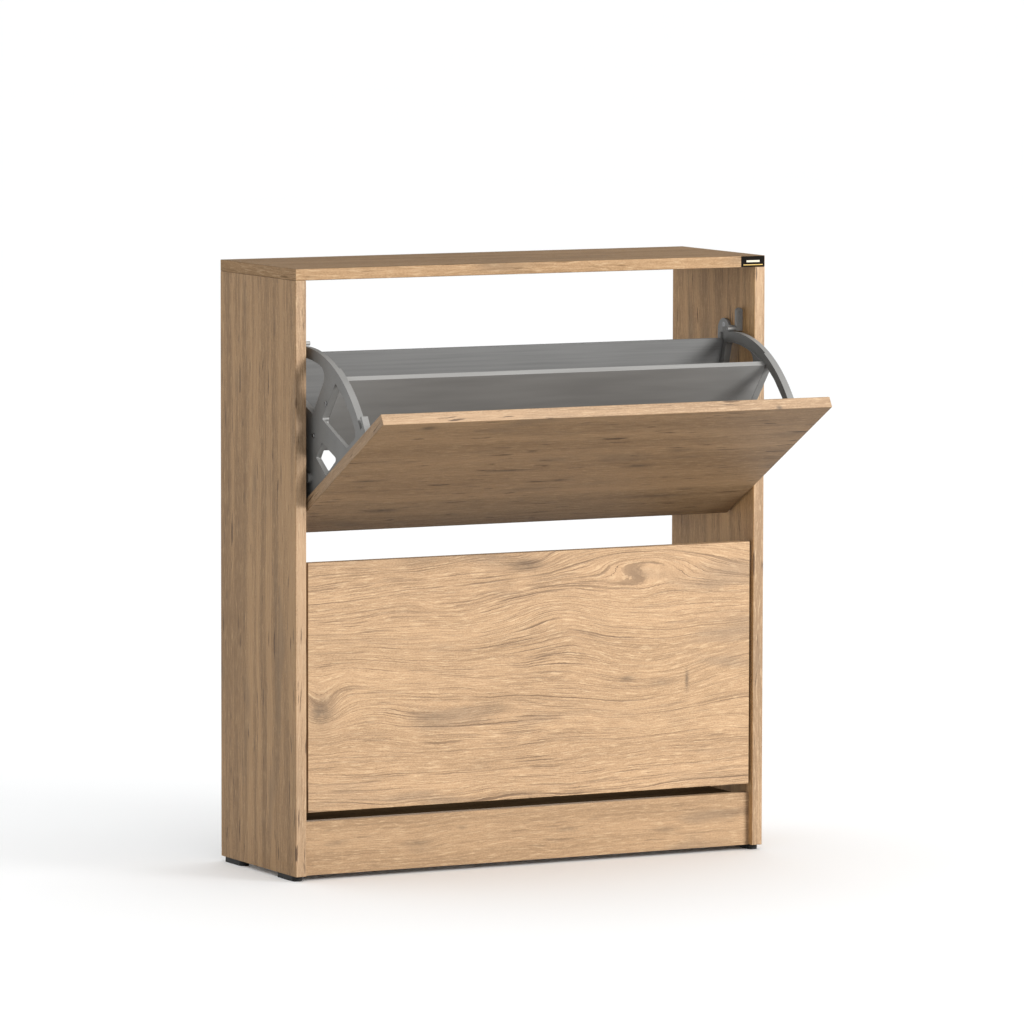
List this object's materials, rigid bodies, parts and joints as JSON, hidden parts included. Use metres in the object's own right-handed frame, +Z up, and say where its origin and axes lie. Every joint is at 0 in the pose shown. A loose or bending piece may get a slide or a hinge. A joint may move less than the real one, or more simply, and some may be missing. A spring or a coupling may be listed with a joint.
{
  "type": "shoe cabinet",
  "caption": "Slim free-standing shoe cabinet in light oak board with tilting doors; each door carries a grey shoe bin that swings out on side plates.",
  "frame": {"origin": "on the floor, at the middle of the whole object's footprint with the upper flap open (the rest pose)", "axes": "+X to the right as seen from the front, the doors face -Y, +Z up"},
  "size_m": [0.73, 0.467, 0.84],
  "materials": {
    "oak_melamine": "printed oak melamine, satin, fine vertical grain",
    "black_plastic": "moulded, matt",
    "label_black": "blank dark plate, satin",
    "beech": "plain turned beech",
    "zinc_steel": "zinc plated",
    "flap_plastic": "moulded mid grey, fine matt texture",
    "bracket_plastic": "moulded mid grey, fine matt texture",
    "grey_board": "grey foiled board, matt"
  },
  "bodies": {
    "carcass": {"top_panel": "oak_melamine", "side_panel_left": "oak_melamine", "side_panel_right": "oak_melamine", "bottom_panel": "oak_melamine", "plinth": "oak_melamine", "rear_rail": "oak_melamine", "foot_front_left": "black_plastic", "foot_front_right": "black_plastic", "foot_rear_left": "black_plastic", "foot_rear_right": "black_plastic", "foot_nails": "zinc_steel", "dowels": "beech", "cam_bolts": "zinc_steel", "cam_discs": "zinc_steel", "label_plate": "label_black", "upper_pivot_base_left": "bracket_plastic", "upper_pivot_base_right": "bracket_plastic", "upper_stopper_left": "bracket_plastic", "upper_stopper_right": "bracket_plastic", "upper_bracket_screws": "zinc_steel", "lower_pivot_base_left": "bracket_plastic", "lower_pivot_base_right": "bracket_plastic", "lower_stopper_left": "bracket_plastic", "lower_stopper_right": "bracket_plastic", "lower_bracket_screws": "zinc_steel"},
    "upper_flap": {"upper_door": "oak_melamine", "upper_side_plate_left": "flap_plastic", "upper_side_plate_right": "flap_plastic", "upper_divider": "grey_board", "upper_back_board": "grey_board", "upper_toe_board": "grey_board", "upper_pivot_pin_left": "zinc_steel", "upper_pivot_pin_right": "zinc_steel", "upper_door_screws": "zinc_steel", "upper_board_screws": "zinc_steel"},
    "lower_flap": {"lower_door": "oak_melamine", "lower_side_plate_left": "flap_plastic", "lower_side_plate_right": "flap_plastic", "lower_divider": "grey_board", "lower_back_board": "grey_board", "lower_toe_board": "grey_board", "lower_pivot_pin_left": "zinc_steel", "lower_pivot_pin_right": "zinc_steel", "lower_door_screws": "zinc_steel", "lower_board_screws": "zinc_steel"}
  },
  "joints": [
    {"name": "upper_flap_hinge", "type": "hinge", "parent": "carcass", "child": "upper_flap", "pos_m": [0, 0.02604, 0.5275], "axis": [1, 0, 0], "range_deg": [-60, 0]},
    {"name": "lower_flap_hinge", "type": "hinge", "parent": "carcass", "child": "lower_flap", "pos_m": [0, 0.02604, 0.1545], "axis": [1, 0, 0], "range_deg": [0, 60]}
  ]
}
